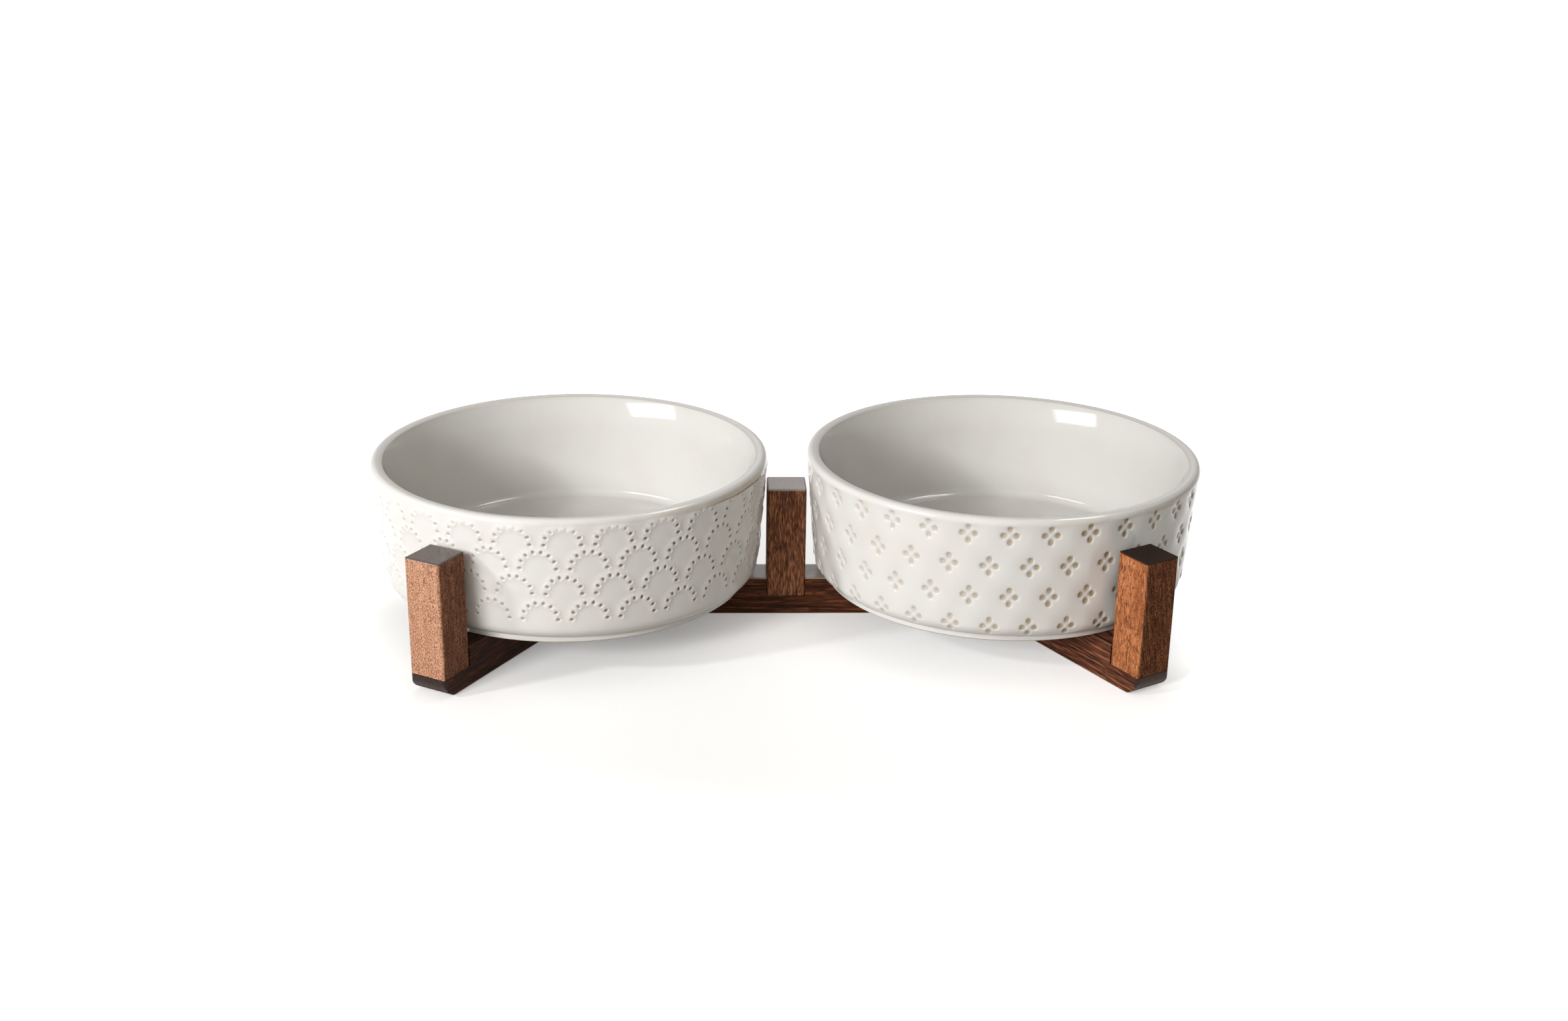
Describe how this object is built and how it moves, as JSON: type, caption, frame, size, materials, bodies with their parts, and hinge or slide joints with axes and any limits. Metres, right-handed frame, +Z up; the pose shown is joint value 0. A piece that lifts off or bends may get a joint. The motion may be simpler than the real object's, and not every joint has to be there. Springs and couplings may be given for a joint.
{
  "type": "dog feeder stand",
  "caption": "Low dark wooden stand of mitred bars and upright posts that holds round white glazed food and water bowls side by side, each lifting straight out.",
  "frame": {"origin": "on the floor, under the middle of the centre bar", "axes": "+X from the left bowl to the right bowl, +Y from front to back, +Z up"},
  "size_m": [0.3362, 0.1768, 0.069],
  "materials": {
    "glaze": "glossy off-white glaze",
    "bar_wood": "dark oiled walnut",
    "post_wood": "oiled walnut, upright grain",
    "dowel_wood": "plain beech",
    "screw_steel": "zinc plated"
  },
  "bodies": {
    "stand": {"center_bar": "bar_wood", "front_left_arm": "bar_wood", "back_left_arm": "bar_wood", "front_right_arm": "bar_wood", "back_right_arm": "bar_wood", "center_post": "post_wood", "front_left_post": "post_wood", "back_left_post": "post_wood", "front_right_post": "post_wood", "back_right_post": "post_wood", "post_screws": "screw_steel", "left_hub_dowels": "dowel_wood", "right_hub_dowels": "dowel_wood"},
    "left_bowl": {"left_bowl": "glaze"},
    "right_bowl": {"right_bowl": "glaze"}
  },
  "joints": [
    {"name": "left_bowl_lift", "type": "slide", "parent": "stand", "child": "left_bowl", "axis": [0, 0, 1], "range_m": [0, 0.1]},
    {"name": "right_bowl_lift", "type": "slide", "parent": "stand", "child": "right_bowl", "axis": [0, 0, 1], "range_m": [0, 0.1]}
  ]
}
